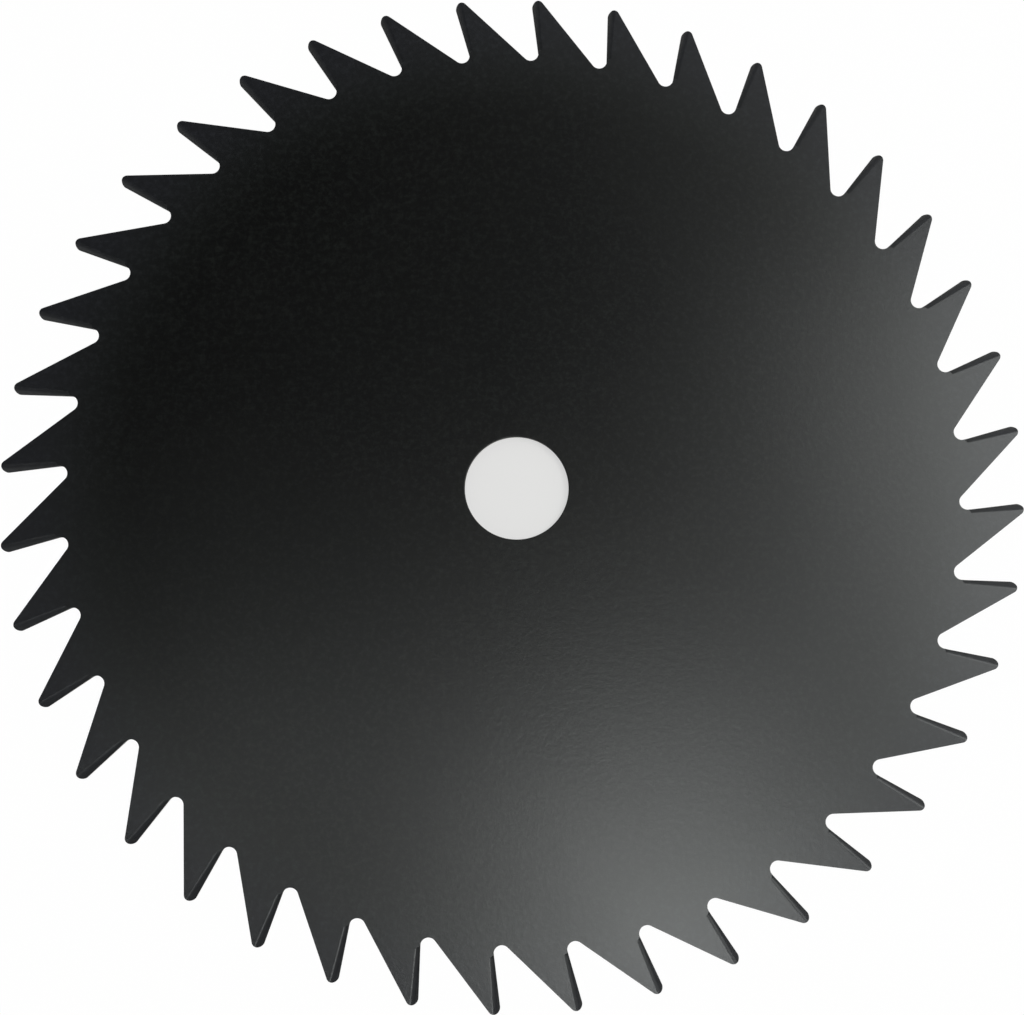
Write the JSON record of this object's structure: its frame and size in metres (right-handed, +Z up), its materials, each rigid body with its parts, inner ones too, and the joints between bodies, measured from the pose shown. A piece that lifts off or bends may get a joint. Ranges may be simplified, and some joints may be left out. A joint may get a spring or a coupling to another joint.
{
  "type": "brush cutter blade",
  "caption": "Flat round steel blade with raked, bevel-ground teeth round its rim and a plain centre bore, for a brush cutter.",
  "frame": {"origin": "centre of the bore on the underside of the plate, where the blade lies on a surface", "axes": "+Z up along the bore's axis, out of the ground upper face; +X is the sharp point of one tooth before rounding; the teeth lean towards +Y from it, anticlockwise seen from above"},
  "size_m": [0.25, 0.25, 0.0016],
  "materials": {
    "coated_steel": "semi-matte black coating on flat steel"
  },
  "bodies": {
    "root": {"blade": "coated_steel"}
  },
  "joints": []
}
